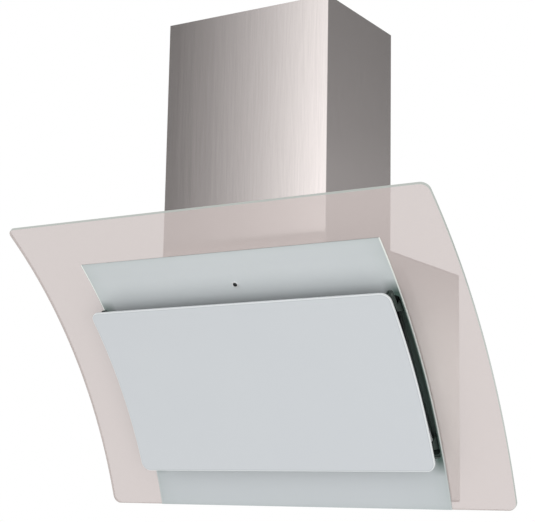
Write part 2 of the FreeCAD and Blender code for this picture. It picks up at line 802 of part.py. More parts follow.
motor_x = (-motor_clear - motor_length, -motor_clear)
motor = rod(wheel_middle + Vector(motor_x[0], 0, 0), RIGHT, motor_radius, motor_length)
motor_edges = [edge for edge in motor.Edges if isinstance(edge.Curve, Part.Circle)]
motor = motor.makeFillet(blade_thickness * 2, motor_edges)
nodes["motor"] = motor.cut(shaft_bore)
shaft_end = hub_length + wheel_disc
nodes["motor_shaft"] = rod(wheel_middle + Vector(motor_x[0] - wheel_disc, 0, 0), RIGHT, shaft_radius,
                           shaft_end - motor_x[0] + wheel_disc)

spider_x = -scroll_width / 2 - spider_thickness
spider_place = wheel_middle + Vector(spider_x, 0, 0)
spider = tube(spider_place, RIGHT, motor_radius + spider_ring, motor_radius + fit_gap, spider_thickness)
spider_arms = []
spider_drills = []
spider_screws = []
for number in range(spider_arm_count):
    degrees = 90 + 360 * number / spider_arm_count
    angle = math.radians(degrees)
    arm = box((spider_x, spider_x + spider_thickness), (motor_radius + spider_ring / 2, spider_reach),
              (-spider_arm_width / 2, spider_arm_width / 2))
    arm.rotate(Vector(0, 0, 0), RIGHT, degrees)
    arm.translate(wheel_middle)
    spider_arms.append(arm)
    outwards = Vector(0, math.cos(angle), math.sin(angle))
    foot = spider_place + outwards * (spider_reach - 2 * screw_head_radius)
    spider_screws.append(screw(foot, RIGHT, spider_thickness + scroll_wall))
    spider_drills.append(screw_hole(foot, RIGHT, spider_thickness + scroll_wall))
spider = fused([spider] + spider_arms)
for drill in spider_drills:
    spider = spider.cut(drill)
    scroll = scroll.cut(drill)
nodes["motor_spider"] = spider
nodes["scroll_housing"] = scroll
nodes["motor_screws"] = Part.makeCompound(spider_screws)

capacitor_x = box_x[1] - sheet - fit_gap - capacitor_radius
capacitor_base = Vector(capacitor_x, box_y[1] - sheet - fit_gap - capacitor_radius,
                        roof_z - sheet - fit_gap - capacitor_length)
nodes["capacitor"] = rod(capacitor_base, UP, capacitor_radius, capacitor_length)

# ---------------------------------------------------------------- outlet collar and flaps

collar_middle = Vector(0, collar_y, roof_z)
half_plate = collar_plate / 2
collar_inner = collar_radius - collar_wall
plate_z = (roof_z, roof_z + collar_plate_thickness)
collar = box((-half_plate, half_plate), (collar_y - half_plate, collar_y + half_plate), plate_z)
collar = fused([collar, rod(collar_middle, UP, collar_radius, collar_plate_thickness + collar_height)])
collar = collar.cut(rod(collar_middle, UP, collar_inner, 2 * collar_height))
flap_z = plate_z[1] + flap_height
rim_top = flap_z - flap_thickness / 2 - seat_gap
rim_start = Vector(0, collar_y, rim_top - flap_rim_height)
collar = fused([collar, tube(rim_start, UP, collar_inner + collar_wall / 2, collar_inner - flap_rim,
                             flap_rim_height)])
pin_half = collar_radius - collar_wall / 2
pin_place = Vector(0, collar_y - pin_half, flap_z)
collar = collar.cut(rod(pin_place, BACK, flap_pin_radius + running_gap, 2 * pin_half))
blower_box = blower_box.cut(rod(collar_middle - Vector(0, 0, 2 * sheet), UP, collar_inner, 4 * sheet))
collar_screws = []
for x in (-1, 1):
    for y in (-1, 1):
        inset = half_plate - 2 * screw_head_radius
        seat_point = Vector(x * inset, collar_y + y * inset, plate_z[1])
        collar_screws.append(screw(seat_point, DOWN, collar_plate_thickness + sheet))
        drill = screw_hole(seat_point, DOWN, collar_plate_thickness + sheet)
        collar = collar.cut(drill)
        blower_box = blower_box.cut(drill)
nodes["outlet_collar"] = collar
nodes["collar_screws"] = Part.makeCompound(collar_screws)
pin_trim = Vector(0, running_gap, 0)
nodes["flap_pin"] = rod(pin_place + pin_trim, BACK, flap_pin_radius, 2 * (pin_half - running_gap))


def flap(side, knuckles):
    """Half of the non-return disc, with its knuckles round the pin."""
    radius = collar_inner - flap_edge_gap
    low = flap_z - flap_thickness / 2
    disc_half = rod(Vector(0, collar_y, low), UP, radius, flap_thickness)
    keep = box((side * (flap_knuckle_radius + seat_gap), side * 2 * radius),
               (collar_y - radius, collar_y + radius), (low - flap_thickness, low + 2 * flap_thickness))
    pieces = [disc_half.common(keep)]
    for start in knuckles:
        at = Vector(0, collar_y + start, flap_z)
        pieces.append(rod(at, BACK, flap_knuckle_radius, flap_knuckle_length))
        web = box((0, side * (flap_knuckle_radius + flap_web)), (at.y, at.y + flap_knuckle_length),
                  (low, low + flap_thickness))
        pieces.append(web)
    whole = fused(pieces)
    return whole.cut(rod(pin_place, BACK, flap_pin_radius + running_gap, 2 * pin_half))


knuckle_step = flap_knuckle_length + flap_knuckle_gap
nodes["right_flap"] = flap(1, (-3 * knuckle_step, -knuckle_step, knuckle_step))
nodes["left_flap"] = flap(-1, (-2 * knuckle_step, 0, 2 * knuckle_step))

# ---------------------------------------------------------------- cable inlet

gland_place = Vector(box_x[1] - gland_from_side, -gland_from_wall, roof_z)
gland = fused([
    rod(gland_place, UP, gland_radius, gland_foot_height),
    Part.makeCone(gland_nut_radius, gland_tip_radius, gland_height, gland_place, UP),
])
nodes["cable_gland"] = gland.cut(rod(gland_place, UP, gland_bore, gland_height))
blower_box = blower_box.cut(rod(gland_place - Vector(0, 0, 2 * sheet), UP, gland_bore, 3 * sheet))
nodes["blower_box"] = blower_box
nodes["box_screws"] = Part.makeCompound(box_screws)

# ---------------------------------------------------------------- chimney

outer_x = (-chimney_width / 2, chimney_width / 2)
outer_y = (-chimney_depth, 0)
chimney_z = (top_z, top_z + chimney_height)


def chimney_wall(x, y, z):
    """Three-sided sheet cover, open towards the wall but for two narrow flanges."""
    cover = box(x, y, z).cut(box(grown(x, -sheet), grown(y, -sheet), grown(z, sheet)))
    return cover.cut(box(grown(x, -chimney_flange), (y[1] - 2 * sheet, y[1] + sheet), grown(z, sheet)))


lower_chimney = chimney_wall(outer_x, outer_y, chimney_z)
tab_reach = outer_x[1] - sheet / 2
tab_end = outer_x[1] - sheet - chimney_tab
tab_screws = []
tabs = []
for side in (-1, 1):
    for middle in grown(outer_y, -chimney_tab_inset):
        tab_y = (middle - chimney_tab_width / 2, middle + chimney_tab_width / 2)
        tabs.append(box((side * tab_end, side * tab_reach), tab_y, (top_z, top_z + sheet)))
lower_chimney = fused([lower_chimney] + tabs)
inner_x = grown(outer_x, -sheet - chimney_gap)
inner_y = (outer_y[0] + sheet + chimney_gap, outer_y[1] - sheet - seat_gap)
inner_z = (top_z + sheet + seat_gap, chimney_z[1] - sheet)
screw_x = (tab_end + inner_x[1] - sheet) / 2
for side in (-1, 1):
    for middle in grown(outer_y, -chimney_tab_inset):
        seat_point = Vector(side * screw_x, middle, top_z + sheet)
        tab_screws.append(screw(seat_point, DOWN, 2 * sheet + seat_gap))
        drill = screw_hole(seat_point, DOWN, 2 * sheet)
        lower_chimney = lower_chimney.cut(drill)
        top_plate = top_plate.cut(drill)
nodes["lower_chimney"] = lower_chimney
nodes["chimney_screws"] = Part.makeCompound(tab_screws)
nodes["top_plate"] = top_plate

upper_chimney = chimney_wall(inner_x, inner_y, inner_z)
bracket_z = (inner_z[1] - bracket_below_top - bracket_height, inner_z[1] - bracket_below_top)
bracket_mid = sum(bracket_z) / 2
bracket_x = grown(inner_x, -sheet - fit_gap)
bracket_front = inner_y[1] - sheet - fit_gap
bracket = box(bracket_x, (bracket_front - bracket_sheet, bracket_front), bracket_z)
wings = []
for side in (-1, 1):
    wing_x = (side * bracket_x[1], side * (bracket_x[1] - bracket_sheet))
    wings.append(box(wing_x, (bracket_front - bracket_wing, bracket_front), bracket_z))
pads = []
for side in (-1, 1):
    pad = Vector(side * bracket_hole_spacing / 2, bracket_front - bracket_sheet / 2, bracket_mid)
    pads.append(rod(pad, BACK, bracket_pad_radius, -pad.y))
bracket = fused([bracket] + wings + pads)
for side in (-1, 1):
    pad = Vector(side * bracket_hole_spacing / 2, bracket_front - 2 * bracket_sheet, bracket_mid)
    bracket = bracket.cut(rod(pad, BACK, bracket_hole_radius, -2 * pad.y))
nodes["ceiling_bracket"] = bracket
nodes["upper_chimney"] = upper_chimney

# ---------------------------------------------------------------- push key and control box

frame = frame.cut(frame_opening).cut(bezel_hole)
nodes["front_frame"] = frame
nodes["filter_seat"] = seat

bezel_inner = key_radius + key_side_gap
sleeve_depth = frame_back - glass_radius + fit_gap
bezel_top = fascia_out + bezel_proud
bezel_flange = tube(Vector(0, 0, fascia_out + fit_gap), UP, bezel_radius, bezel_inner, bezel_proud)
bezel_body = tube(Vector(0, 0, -sleeve_depth), UP, bezel_inner + bezel_sleeve, bezel_inner,
                  sleeve_depth + fascia_out + bezel_proud / 2)
nodes["key_bezel"] = placed(fused([bezel_flange, bezel_body]), key_place)

key_front = bezel_top + key_proud
key = rod(Vector(0, 0, key_front - key_length), UP, key_radius, key_length)
crown = [edge for edge in key.Edges if isinstance(edge.Curve, Part.Circle) and edge.CenterOfMass.z > 0]
nodes["push_key"] = placed(key.makeFillet(key_edge_round, crown), key_place)

control_front = -(frame_back - glass_radius) - seat_gap
control_rear = control_front - control_depth
control_x = (-control_width / 2, control_width / 2)
control_up_range = (-control_down, control_up)
control = box(control_x, control_up_range, (control_rear, control_front))
control = control.cut(box(grown(control_x, -control_wall), grown(control_up_range, -control_wall),
                          (control_rear + control_wall, control_front + control_wall)))
nodes["control_box"] = placed(control, key_place)
switch_front = key_front - key_length - key_travel - seat_gap
board_front = switch_front - switch_size / 2
switch = box((-switch_size / 2, switch_size / 2), (-switch_size / 2, switch_size / 2),
             (board_front, switch_front))
board_inset = -control_wall - fit_gap
board = box(grown(control_x, board_inset), grown(control_up_range, board_inset),
            (board_front - board_thickness, board_front))
nodes["control_board"] = placed(fused([board, switch]), key_place)

# ---------------------------------------------------------------- written out

for name, shape in nodes.items():
    solids = shape.Solids
    shape = solids[0] if len(solids) == 1 else Part.makeCompound(solids)
    shape.exportStep(os.path.join("parts", name + ".step"))
    print(name, len(solids), "solid(s)", "valid" if shape.isValid() else "NOT VALID")
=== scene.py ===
# A curved glass kitchen hood, as it hangs on its wall: its finishes and its finer pieces,
# then the pale room, the lights and the camera. Metres, in the frame's own axes:
# X runs along the wall, -Y into the room, +Z up.

import bmesh
import bpy
import json
import math
from mathutils import Matrix, Vector

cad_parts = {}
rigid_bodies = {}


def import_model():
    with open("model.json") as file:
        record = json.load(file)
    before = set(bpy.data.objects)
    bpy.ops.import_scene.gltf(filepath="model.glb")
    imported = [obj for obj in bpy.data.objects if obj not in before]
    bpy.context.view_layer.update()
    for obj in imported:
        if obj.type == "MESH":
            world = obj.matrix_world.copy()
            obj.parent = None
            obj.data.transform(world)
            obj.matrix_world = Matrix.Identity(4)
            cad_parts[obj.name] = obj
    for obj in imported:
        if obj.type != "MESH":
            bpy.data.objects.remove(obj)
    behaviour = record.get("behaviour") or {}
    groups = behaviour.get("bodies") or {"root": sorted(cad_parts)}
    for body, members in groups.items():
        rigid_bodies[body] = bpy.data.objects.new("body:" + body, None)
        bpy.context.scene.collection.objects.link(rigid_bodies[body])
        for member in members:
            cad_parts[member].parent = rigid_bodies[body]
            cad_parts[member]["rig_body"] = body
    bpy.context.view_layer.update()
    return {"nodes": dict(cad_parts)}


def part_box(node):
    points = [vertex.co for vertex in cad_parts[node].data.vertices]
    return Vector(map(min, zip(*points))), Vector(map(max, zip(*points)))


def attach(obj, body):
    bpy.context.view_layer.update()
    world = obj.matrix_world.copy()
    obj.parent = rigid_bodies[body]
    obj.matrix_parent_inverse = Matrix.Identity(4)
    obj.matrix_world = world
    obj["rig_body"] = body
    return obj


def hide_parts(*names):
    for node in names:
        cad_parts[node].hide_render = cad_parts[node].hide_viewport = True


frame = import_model()
nodes = frame["nodes"]

# ------------------------------------------------------------------ the curved glass
# One sheet of 6 mm toughened glass, bent to a steady curve and polished on its rim. A pale
# warm film on its front lets about a fifth of the light through. The body hangs behind it.

glass_radius = 1.05               # of the front face, about an axis out in the room
glass_thickness = 0.006
lower_slope = math.radians(18)    # off upright, at the lower edge
lower_edge = (-0.035, -0.018)     # Y and Z of the front face there
axis_y = lower_edge[0] - glass_radius * math.cos(lower_slope)
axis_z = lower_edge[1] - glass_radius * math.sin(lower_slope)

film_colour = (204, 192, 190)
film_cover = 0.787                # how much the film hides
film_blend = 0.001                # half the depth over which film gives way to clear glass
clear_cover = 0.03                # how much the bare rear face hides
glass_rim_colour = (184, 189, 184)
glass_rim_cover = 0.96
rim_facing = (0.80, 0.98)         # rim below, face above: how far a surface looks at the axis
spots_span = (0.3, 0.7)           # where nearly all the values of soft spots lie


def seen(red, green, blue):
    """A colour as it looks on a screen, 0 to 255, turned into the light it sends back."""
    light = []
    for part in (red, green, blue):
        share = part / 255
        light.append(share / 12.92 if share <= 0.04045 else ((share + 0.055) / 1.055) ** 2.4)
    return (*light, 1.0)


def new_finish(name):
    """An empty finish, whose surface is one shader."""
    material = bpy.data.materials.new(name)
    material.use_nodes = True
    return material


def feed(material, socket, source):
    """Sets a socket to a plain value, or joins it to the output of another step."""
    if isinstance(source, bpy.types.NodeSocket):
        material.node_tree.links.new(source, socket)
    else:
        socket.default_value = source


def surface(material, **sources):
    """Sets the surface's own values: colour, roughness and so on."""
    shader = material.node_tree.nodes["Principled BSDF"]
    for name, source in sources.items():
        feed(material, shader.inputs[name.replace("_", " ")], source)
    return material


def step(material, kind, output, **sources):
    """One step of a finish, with its inputs by name. Gives the output that is asked for."""
    made = material.node_tree.nodes.new("ShaderNode" + kind)
    for name, source in sources.items():
        feed(material, made.inputs[name.replace("_", " ")], source)
    return made.outputs[output]


def sum_step(material, operation, *sources):
    """Arithmetic on one, two or three numbers."""
    made = material.node_tree.nodes.new("ShaderNodeMath")
    made.operation = operation
    for socket, source in zip(made.inputs, sources):
        feed(material, socket, source)
    return made.outputs[0]


def vector_step(material, operation, output, *sources):
    """Arithmetic on vectors."""
    made = material.node_tree.nodes.new("ShaderNodeVectorMath")
    made.operation = operation
    for socket, source in zip(made.inputs, sources):
        feed(material, socket, source)
    return made.outputs[output]


def between(material, share, first, second):
    """A colour between two, by a share from 0 to 1."""
    made = material.node_tree.nodes.new("ShaderNodeMix")
    made.data_type = "RGBA"
    feed(material, made.inputs["Factor"], share)
    feed(material, made.inputs[6], first)
    feed(material, made.inputs[7], second)
    return made.outputs[2]


def ranged(material, value, low, high, to_low, to_high):
    """A number moved from one range into another, and kept inside it."""
    return step(material, "MapRange", "Result", Value=value, From_Min=low, From_Max=high,
                To_Min=to_low, To_Max=to_high)


def spots(material, per_metre, stretch=(1, 1, 1), detail=3.0):
    """Soft random spots, fixed to the piece."""
    place = step(material, "TexCoord", "Object")
    place = vector_step(material, "MULTIPLY", "Vector", place, stretch)
    return step(material, "TexNoise", "Fac", Vector=place, Scale=per_metre, Detail=detail)


def varied(material, pattern, low, high):
    """A number that follows soft spots from low to high."""
    return ranged(material, pattern, *spots_span, low, high)


def relief(material, height, depth, strength):
    """Fine relief on the surface, of a depth in metres."""
    return step(material, "Bump", "Normal", Height=height, Distance=depth, Strength=strength)


def arm_from_axis(material):
    """The way from the glass's axis to a point, square to the axis."""
    place = step(material, "TexCoord", "Object")
    arm = vector_step(material, "SUBTRACT", "Vector", place, (0, axis_y, axis_z))
    return vector_step(material, "MULTIPLY", "Vector", arm, (0, 1, 1))


def rim_share(material):
    """1 on the rim of a sheet that is bent about the glass's axis, and 0 on its two faces."""
    arm = vector_step(material, "NORMALIZE", "Vector", arm_from_axis(material))
    facing = step(material, "TexCoord", "Normal")
    facing = vector_step(material, "DOT_PRODUCT", "Value", arm, facing)
    return ranged(material, sum_step(material, "ABSOLUTE", facing), *rim_facing, 1.0, 0.0)


def film_glass():
    """Glass with its pale film on the front, a grey-green rim and faint wipe marks."""
    material = new_finish("film_glass")
    rim = rim_share(material)
    wipes = spots(material, 9, stretch=(1, 0.4, 0.4))
    reach = vector_step(material, "LENGTH", "Value", arm_from_axis(material))
    middle = glass_radius + glass_thickness / 2
    cover = ranged(material, reach, middle - film_blend, middle + film_blend,
                   film_cover, clear_cover)
    rim_cover = sum_step(material, "MULTIPLY", rim, glass_rim_cover)
    return surface(
        material,
        Base_Color=between(material, rim, seen(*film_colour), seen(*glass_rim_colour)),
        Alpha=sum_step(material, "MAXIMUM", cover, rim_cover),
        Roughness=varied(material, wipes, 0.05, 0.09),
        IOR=1.5,
        Specular_IOR_Level=0.35,
    )


def dress(finish, *names):
    """Gives pieces of the frame a finish."""
    for name in names:
        piece = nodes[name]
        if piece.material_slots:
            piece.material_slots[0].material = finish
        else:
            piece.data.materials.append(finish)


dress(film_glass(), "curved_glass")

# ------------------------------------------------------------------ the painted fascia
# A thin steel sheet, stoved pale blue-grey and bonded to the middle of the glass. It covers
# the body behind, and has the air opening cut through it. Black tape lies behind the glass.

fascia_half_width = 0.325
fascia_length = 0.5482            # along the curve, from the lower edge of the glass
fascia_corner = 0.001
fascia_colour = (208, 213, 216)
fascia_cloud = (205, 210, 213)
fascia_foot = (0.06, 0.30)        # along the curve, where the foot's shade gives way
fascia_foot_colour = (200, 205, 209)
painted_light_rise = (0.400, 0.455)       # along the curve: painted light above the panel, which lifts the shade that the panel casts, rising behind it and falling towards the fascia's upper end
painted_light_fall = (0.455, 0.515)       # rising behind it and falling towards the fascia's upper end
painted_light_colour = (222, 227, 230)

edge_colour = (140, 156, 150)     # darker and greener, towards the outline
edge_reach = 0.05                 # inwards from the outline
edge_fade = ((0.0, 0.42), (0.05, 0.15), (0.5, 0.02), (1.0, 0.0))    # its share, on the way in
ends_start = 0.19                 # from the middle of the hood, where the paint begins to darken
ends_fade = ((0.0, 0.0), (0.4, 0.03), (0.8, 0.1), (1.0, 0.2))       # its share, on the way out

# Painted shade: a dark border beside the opening, where the gap behind the front panel lies in
# shade, printed in a dot pattern that fades out towards its ends.
painted_shade_colour = (88, 108, 102)
painted_shade_side = (0.294, 0.314)      # from the middle of the hood: the painted shade begins, and is full
painted_shade_low = (0.064, 0.094)       # the same along the curve, at the lower end
painted_shade_high = (0.432, 0.462)      # where it fades out again
painted_highlight_line = (0.3224, 0.3228)      # from the middle of the hood: the painted shade ends in a pale painted highlight
painted_highlight_colour = (236, 240, 236)
painted_highlight_foot = (0.075, 0.135)   # along the curve, where the line comes up to full strength
painted_highlight_least = 0.15            # its strength below that


def stoved_paint(name, colour, cloud, roughness):
    """Smooth stoved paint with a very faint orange peel."""
    material = new_finish(name)
    clouds = spots(material, 6)
    peel = spots(material, 420, detail=1.0)
    return surface(
        material,
        Base_Color=between(material, clouds, seen(*colour), seen(*cloud)),
        Roughness=varied(material, clouds, roughness - 0.03, roughness + 0.03),
        Normal=relief(material, peel, depth=0.00004, strength=0.35),
        Specular_IOR_Level=0.3,
    )


def foam_tape():
    """Closed-cell black foam."""
    material = new_finish("foam_tape")
    cells = spots(material, 1500, detail=2.0)
    return surface(
        material,
        Base_Color=between(material, cells, seen(24, 25, 26), seen(40, 41, 42)),
        Roughness=0.9,
        Normal=relief(material, cells, depth=0.0003, strength=0.6),
    )


def stops(material, value, pairs):
    """A number that follows (value, result) pairs in a smooth line, all from 0 to 1."""
    made = material.node_tree.nodes.new("ShaderNodeFloatCurve")
    feed(material, made.inputs["Value"], value)
    line = made.mapping.curves[0]
    for index, pair in enumerate(pairs):
        if index < len(line.points):
            line.points[index].location = pair
        else:
            line.points.new(*pair)
    made.mapping.update()
    return made.outputs[0]


def along_curve(material):
    """Length along the curve from the lower edge of the glass, in metres."""
    parts = step(material, "SeparateXYZ", "Z", Vector=arm_from_axis(material))
    reach = parts.node.outputs["Y"]
    slope = sum_step(material, "ARCTAN2", parts, reach)
    slope = sum_step(material, "SUBTRACT", slope, lower_slope)
    return sum_step(material, "MULTIPLY", slope, glass_radius)


def across_wall(material):
    """Distance from the middle of the hood, along the wall."""
    place = step(material, "TexCoord", "Object")
    parts = step(material, "SeparateXYZ", "X", Vector=place)
    return sum_step(material, "ABSOLUTE", parts)


def inside_outline(material, half_width, low, high, corner):
    """How far inside a rounded outline on a bent sheet a point lies, and below 0 outside it."""
    along = sum_step(material, "SUBTRACT", along_curve(material), (low + high) / 2)
    along = sum_step(material, "ABSOLUTE", along)
    along = sum_step(material, "SUBTRACT", along, (high - low) / 2 - corner)
    aside = sum_step(material, "SUBTRACT", across_wall(material), half_width - corner)
    past_along = sum_step(material, "MAXIMUM", along, 0.0)
    past_aside = sum_step(material, "MAXIMUM", aside, 0.0)
    square = sum_step(material, "MULTIPLY", past_along, past_along)
    square = sum_step(material, "MULTIPLY_ADD", past_aside, past_aside, square)
    rounded = sum_step(material, "SQRT", square)
    straight = sum_step(material, "MINIMUM", sum_step(material, "MAXIMUM", along, aside), 0.0)
    return sum_step(material, "SUBTRACT", corner, sum_step(material, "ADD", rounded, straight))


def own_colour(material):
    """The colour that a finish has so far, to be painted over."""
    shader = material.node_tree.nodes["Principled BSDF"]
    return shader.inputs["Base Color"].links[0].from_socket


def fascia_paint():
    """Pale stoved paint that shades a little along the curve, with painted light above the
    panel, and darker and greener towards its edges and ends. Beside the opening lies a dark
    border of painted shade, printed in a dot pattern, with a pale painted highlight outside."""
    material = stoved_paint("fascia_paint", fascia_colour, fascia_cloud, 0.38)
    arc = along_curve(material)
    aside = across_wall(material)

    foot = ranged(material, arc, *fascia_foot, 1.0, 0.0)
    paint = between(material, foot, own_colour(material), seen(*fascia_foot_colour))
    # Painted light: the paint is lightened above the panel, where the panel's shade falls.
    painted_light = sum_step(material, "MINIMUM", ranged(material, arc, *painted_light_rise, 0.0, 1.0),
                     ranged(material, arc, *painted_light_fall, 1.0, 0.0))
    paint = between(material, painted_light, paint, seen(*painted_light_colour))

    inset = inside_outline(material, fascia_half_width, 0.0, fascia_length, fascia_corner)
    edge_tint = stops(material, sum_step(material, "MULTIPLY", inset, 1 / edge_reach), edge_fade)
    paint = between(material, edge_tint, paint, seen(*edge_colour))
    ends = ranged(material, aside, ends_start, fascia_half_width, 0.0, 1.0)
    paint = between(material, stops(material, ends, ends_fade), paint, seen(*edge_colour))

    # A pale line of painted highlight down each side edge of the fascia.
    line = sum_step(material, "MULTIPLY", ranged(material, aside, *painted_highlight_line, 0.0, 1.0),
                    ranged(material, arc, *painted_highlight_foot, painted_highlight_least, 1.0))
    paint = between(material, line, paint, seen(*painted_highlight_colour))

    # Painted shade beside the opening, printed in a dot pattern.
    along = sum_step(material, "MULTIPLY", ranged(material, arc, *painted_shade_low, 0.0, 1.0),
                     ranged(material, arc, *painted_shade_high, 1.0, 0.0))
    beside = sum_step(material, "MULTIPLY", ranged(material, aside, *painted_shade_side, 0.0, 1.0),
                      ranged(material, aside, *painted_highlight_line, 1.0, 0.0))
    shade_dots = sum_step(material, "MULTIPLY", along, beside)
    return surface(material, Base_Color=between(material, shade_dots, paint, seen(*painted_shade_colour)))


dress(fascia_paint(), "painted_fascia")
dress(foam_tape(), "bonding_tape")

# ------------------------------------------------------------------ the steel body
# Side walls of ground stainless sheet, and a back, top, bottom and inner frame of zinced
# sheet, folded and riveted. The seen edges of the stainless sheet are eased by grinding.

side_steel = (206, 205, 200)
scratches_along = 1.2             # how tightly the scratches follow each other, with the grind
scratches_across = 160.0          # and square to it
# Painted shade: a dark, not metallic line along the joint under the top plate.
seam_shade_colour = (60, 56, 54)
seam_width = 0.0035
seam_blend = 0.0004
zinc_light = (178, 180, 181)
zinc_dark = (165, 168, 170)
dark_tone = (84, 100, 95)
side_edge = 0.0004                # how far the edges of the side walls are rounded

same_place = 0.00001              # corners this near are one
same_plane = math.radians(0.2)
rounded_from = math.radians(40)   # an edge sharper than this is rounded
creased_from = math.radians(30)   # and one sharper than this doesn't shade smoothly
narrow_share = 0.35               # of a narrow face's width, rounded away at each of its edges


def lighter(colour, steps):
    """The same colour, some steps of 255 lighter, or darker where the steps are below 0."""
    return [part + steps for part in colour]


def ground_steel(name, tone, roughness, streaks_along="Z"):
    """Stainless sheet, ground along one axis: long fine scratches, and a shine drawn out
    across them."""
    material = new_finish(name)
    stretch = [scratches_along if axis == streaks_along else scratches_across for axis in "XYZ"]
    fine = spots(material, 14, stretch, detail=5.0)
    broad = spots(material, 2.2, stretch, detail=2.0)
    across = material.node_tree.nodes.new("ShaderNodeTangent")
    across.direction_type = "RADIAL"
    across.axis = streaks_along
    return surface(
        material,
        Base_Color=between(material, varied(material, fine, 0.0, 1.0),
                           seen(*lighter(tone, -7)), seen(*lighter(tone, 4))),
        Metallic=1.0,
        Roughness=varied(material, broad, roughness - 0.015, roughness + 0.015),
        Anisotropic=0.5,
        Tangent=across.outputs[0],
        Normal=relief(material, fine, depth=0.00001, strength=0.1),
    )


def side_wall_finish():
    """The ground sheet of the side walls, with a dark line of painted shade under the top plate.
    """
    material = ground_steel("side_steel", side_steel, 0.2)
    seam_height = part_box("right_side_panel")[1][2] - seam_width
    height = step(material, "SeparateXYZ", "Z", Vector=step(material, "TexCoord", "Object"))
    seam_shade = ranged(material, height, seam_height, seam_height + seam_blend, 0.0, 1.0)
    return surface(
        material,
        Base_Color=between(material, seam_shade, own_colour(material), seen(*seam_shade_colour)),
        Metallic=sum_step(material, "SUBTRACT", 1.0, seam_shade),
    )


def zinced_steel():
    """Hot-dipped zinc with its flaky grain."""
    material = new_finish("zinced_steel")
    place = step(material, "TexCoord", "Object")
    flakes = step(material, "TexVoronoi", "Color", Vector=place, Scale=150)
    tone = step(material, "SeparateColor", "Red", Color=flakes)
    dull = spots(material, 12)
    return surface(
        material,
        Base_Color=between(material, tone, seen(*zinc_dark), seen(*zinc_light)),
        Metallic=0.85,
        Roughness=varied(material, dull, 0.34, 0.5),
        Normal=relief(material, tone, depth=0.00002, strength=0.3),
    )


def powder_coat(name, colour, roughness):
    """Powder coat with its fine pebbled skin."""
    material = new_finish(name)
    pebbles = spots(material, 900, detail=1.5)
    clouds = spots(material, 25)
    return surface(
        material,
        Base_Color=between(material, clouds, seen(*colour), seen(*lighter(colour, 7))),
        Roughness=varied(material, pebbles, roughness - 0.08, roughness + 0.08),
        Normal=relief(material, pebbles, depth=0.00008, strength=0.4),
    )


def weigh_edges(work, width):
    """Marks how much each sharp edge is rounded: less where it borders a narrow face."""
    weight = work.edges.layers.float.new("bevel_weight_edge")
    for edge in work.edges:
        if len(edge.link_faces) == 2 and edge.calc_face_angle() > rounded_from:
            narrow = min(2 * face.calc_area() / face.calc_perimeter() for face in edge.link_faces)
            edge[weight] = min(1.0, narrow_share * narrow / width)


def placed(name, data):
    """Puts a new thing into the scene: a mesh, a lamp or a camera."""
    thing = bpy.data.objects.new(name, data)
    bpy.context.scene.collection.objects.link(thing)
    return thing


def stand_in(piece, name):
    """Lets a piece stand for one of the frame: it moves with it, and the frame's piece is hidden.
    """
    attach(piece, nodes[name]["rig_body"])
    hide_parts(name)


def eased_copy(name, width, finish, shaped=None):
    """A finer copy of a piece of the frame, with its sharp edges rounded, that stands for it.
    Its mesh is first shaped further where that is asked for."""
    mesh = nodes[name].data.copy()
    if "custom_normal" in mesh.attributes:
        mesh.attributes.remove(mesh.attributes["custom_normal"])
    work = bmesh.new()
    work.from_mesh(mesh)
    bmesh.ops.remove_doubles(work, verts=work.verts, dist=same_place)
    bmesh.ops.dissolve_limit(work, angle_limit=same_plane, verts=work.verts, edges=work.edges)
    if shaped:
        shaped(work)
    weigh_edges(work, width)
    work.to_mesh(mesh)
    work.free()
    mesh.materials.clear()
    mesh.materials.append(finish)
    mesh.shade_smooth()
    mesh.set_sharp_from_angle(angle=creased_from)
    piece = placed(name + "_eased", mesh)
    rounding = piece.modifiers.new("rounding", "BEVEL")
    rounding.width = width
    rounding.segments = 3
    rounding.limit_method = "WEIGHT"
    rounding.harden_normals = True
    stand_in(piece, name)


side_finish = side_wall_finish()
zinc_finish = zinced_steel()
dark_finish = powder_coat("dark_powder_coat", dark_tone, 0.5)
eased_copy("right_side_panel", side_edge, side_finish)
eased_copy("left_side_panel", side_edge, side_finish)
dress(zinc_finish, "back_plate", "top_plate", "bottom_plate")
dress(dark_finish, "front_frame", "filter_seat")

# ------------------------------------------------------------------ lamps and feet
# Two long lamps are let into the floor of the body, each a white moulded tray behind a
# frosted lens. Two rubber blocks keep the body's rear corners off the tiles.

white_tone = (226, 226, 222)
lens_rim = 0.0022
rib_width = 0.0016
rib_depth = 0.0007


def moulded_plastic(name, colour, roughness):
    """Moulded plastic with a spark-eroded skin."""
    material = new_finish(name)
    skin = spots(material, 1800, detail=1.0)
    clouds = spots(material, 30)
    return surface(
        material,
        Base_Color=between(material, clouds, seen(*colour), seen(*lighter(colour, -5))),
        Roughness=varied(material, skin, roughness - 0.06, roughness + 0.06),
        Normal=relief(material, skin, depth=0.00004, strength=0.35),
    )


def frosted_lens():
    """Clear plastic with a frosted inside."""
    material = new_finish("frosted_lens")
    frost = spots(material, 700, detail=2.0)
    return surface(
        material,
        Base_Color=seen(240, 240, 236),
        Roughness=varied(material, frost, 0.25, 0.4),
        Alpha=0.88,
        Normal=relief(material, frost, depth=0.00005, strength=0.5),
    )


def new_mesh(name, work, finish):
    """The mesh that comes out of finished work on its corners and faces."""
    mesh = bpy.data.meshes.new(name)
    work.to_mesh(mesh)
    work.free()
    mesh.materials.append(finish)
    return mesh


